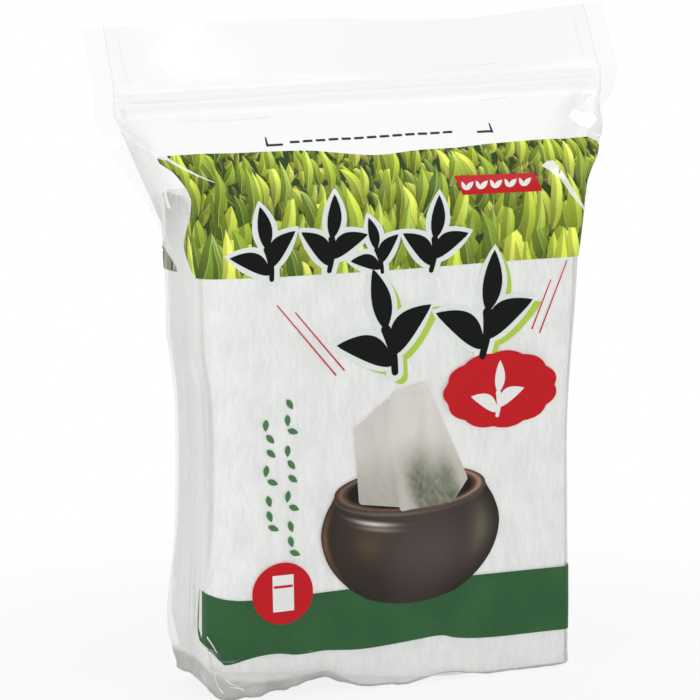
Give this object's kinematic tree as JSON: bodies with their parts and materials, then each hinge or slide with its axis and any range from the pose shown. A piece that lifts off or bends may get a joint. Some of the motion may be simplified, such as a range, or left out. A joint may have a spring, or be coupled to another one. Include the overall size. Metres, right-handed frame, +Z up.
{
  "type": "pack of paper tea filters in a resealable pouch",
  "caption": "Clear resealable film pouch with side seals, tucked corners and a press-to-close zip, full of folded paper tea filters.",
  "frame": {"origin": "middle of the pouch's box at the level it stands on", "axes": "+Z up towards the zip and header, -Y towards the printed front, +X to the right of the front"},
  "size_m": [0.1094, 0.0254, 0.1277],
  "materials": {
    "clear_film": "clear glossy film, softly creased",
    "zip_track": "clear extruded strip",
    "filter_paper": "matt white nonwoven with fine fibres"
  },
  "bodies": {
    "root": {"pouch_film": "clear_film", "zip_male_track": "zip_track", "zip_female_track": "zip_track", "filter_pair_01": "filter_paper", "filter_pair_02": "filter_paper", "filter_pair_03": "filter_paper", "filter_pair_04": "filter_paper", "filter_pair_05": "filter_paper", "filter_pair_06": "filter_paper", "filter_pair_07": "filter_paper", "filter_pair_08": "filter_paper", "filter_pair_09": "filter_paper", "filter_pair_10": "filter_paper", "filter_pair_11": "filter_paper", "filter_pair_12": "filter_paper", "filter_pair_13": "filter_paper", "filter_pair_14": "filter_paper", "filter_pair_15": "filter_paper", "filter_pair_16": "filter_paper", "filter_pair_17": "filter_paper", "filter_pair_18": "filter_paper", "filter_pair_19": "filter_paper", "filter_pair_20": "filter_paper", "filter_pair_21": "filter_paper", "filter_pair_22": "filter_paper", "filter_pair_23": "filter_paper", "filter_pair_24": "filter_paper", "filter_pair_25": "filter_paper", "filter_pair_26": "filter_paper", "filter_pair_27": "filter_paper", "filter_pair_28": "filter_paper", "filter_pair_29": "filter_paper", "filter_pair_30": "filter_paper"}
  },
  "joints": []
}
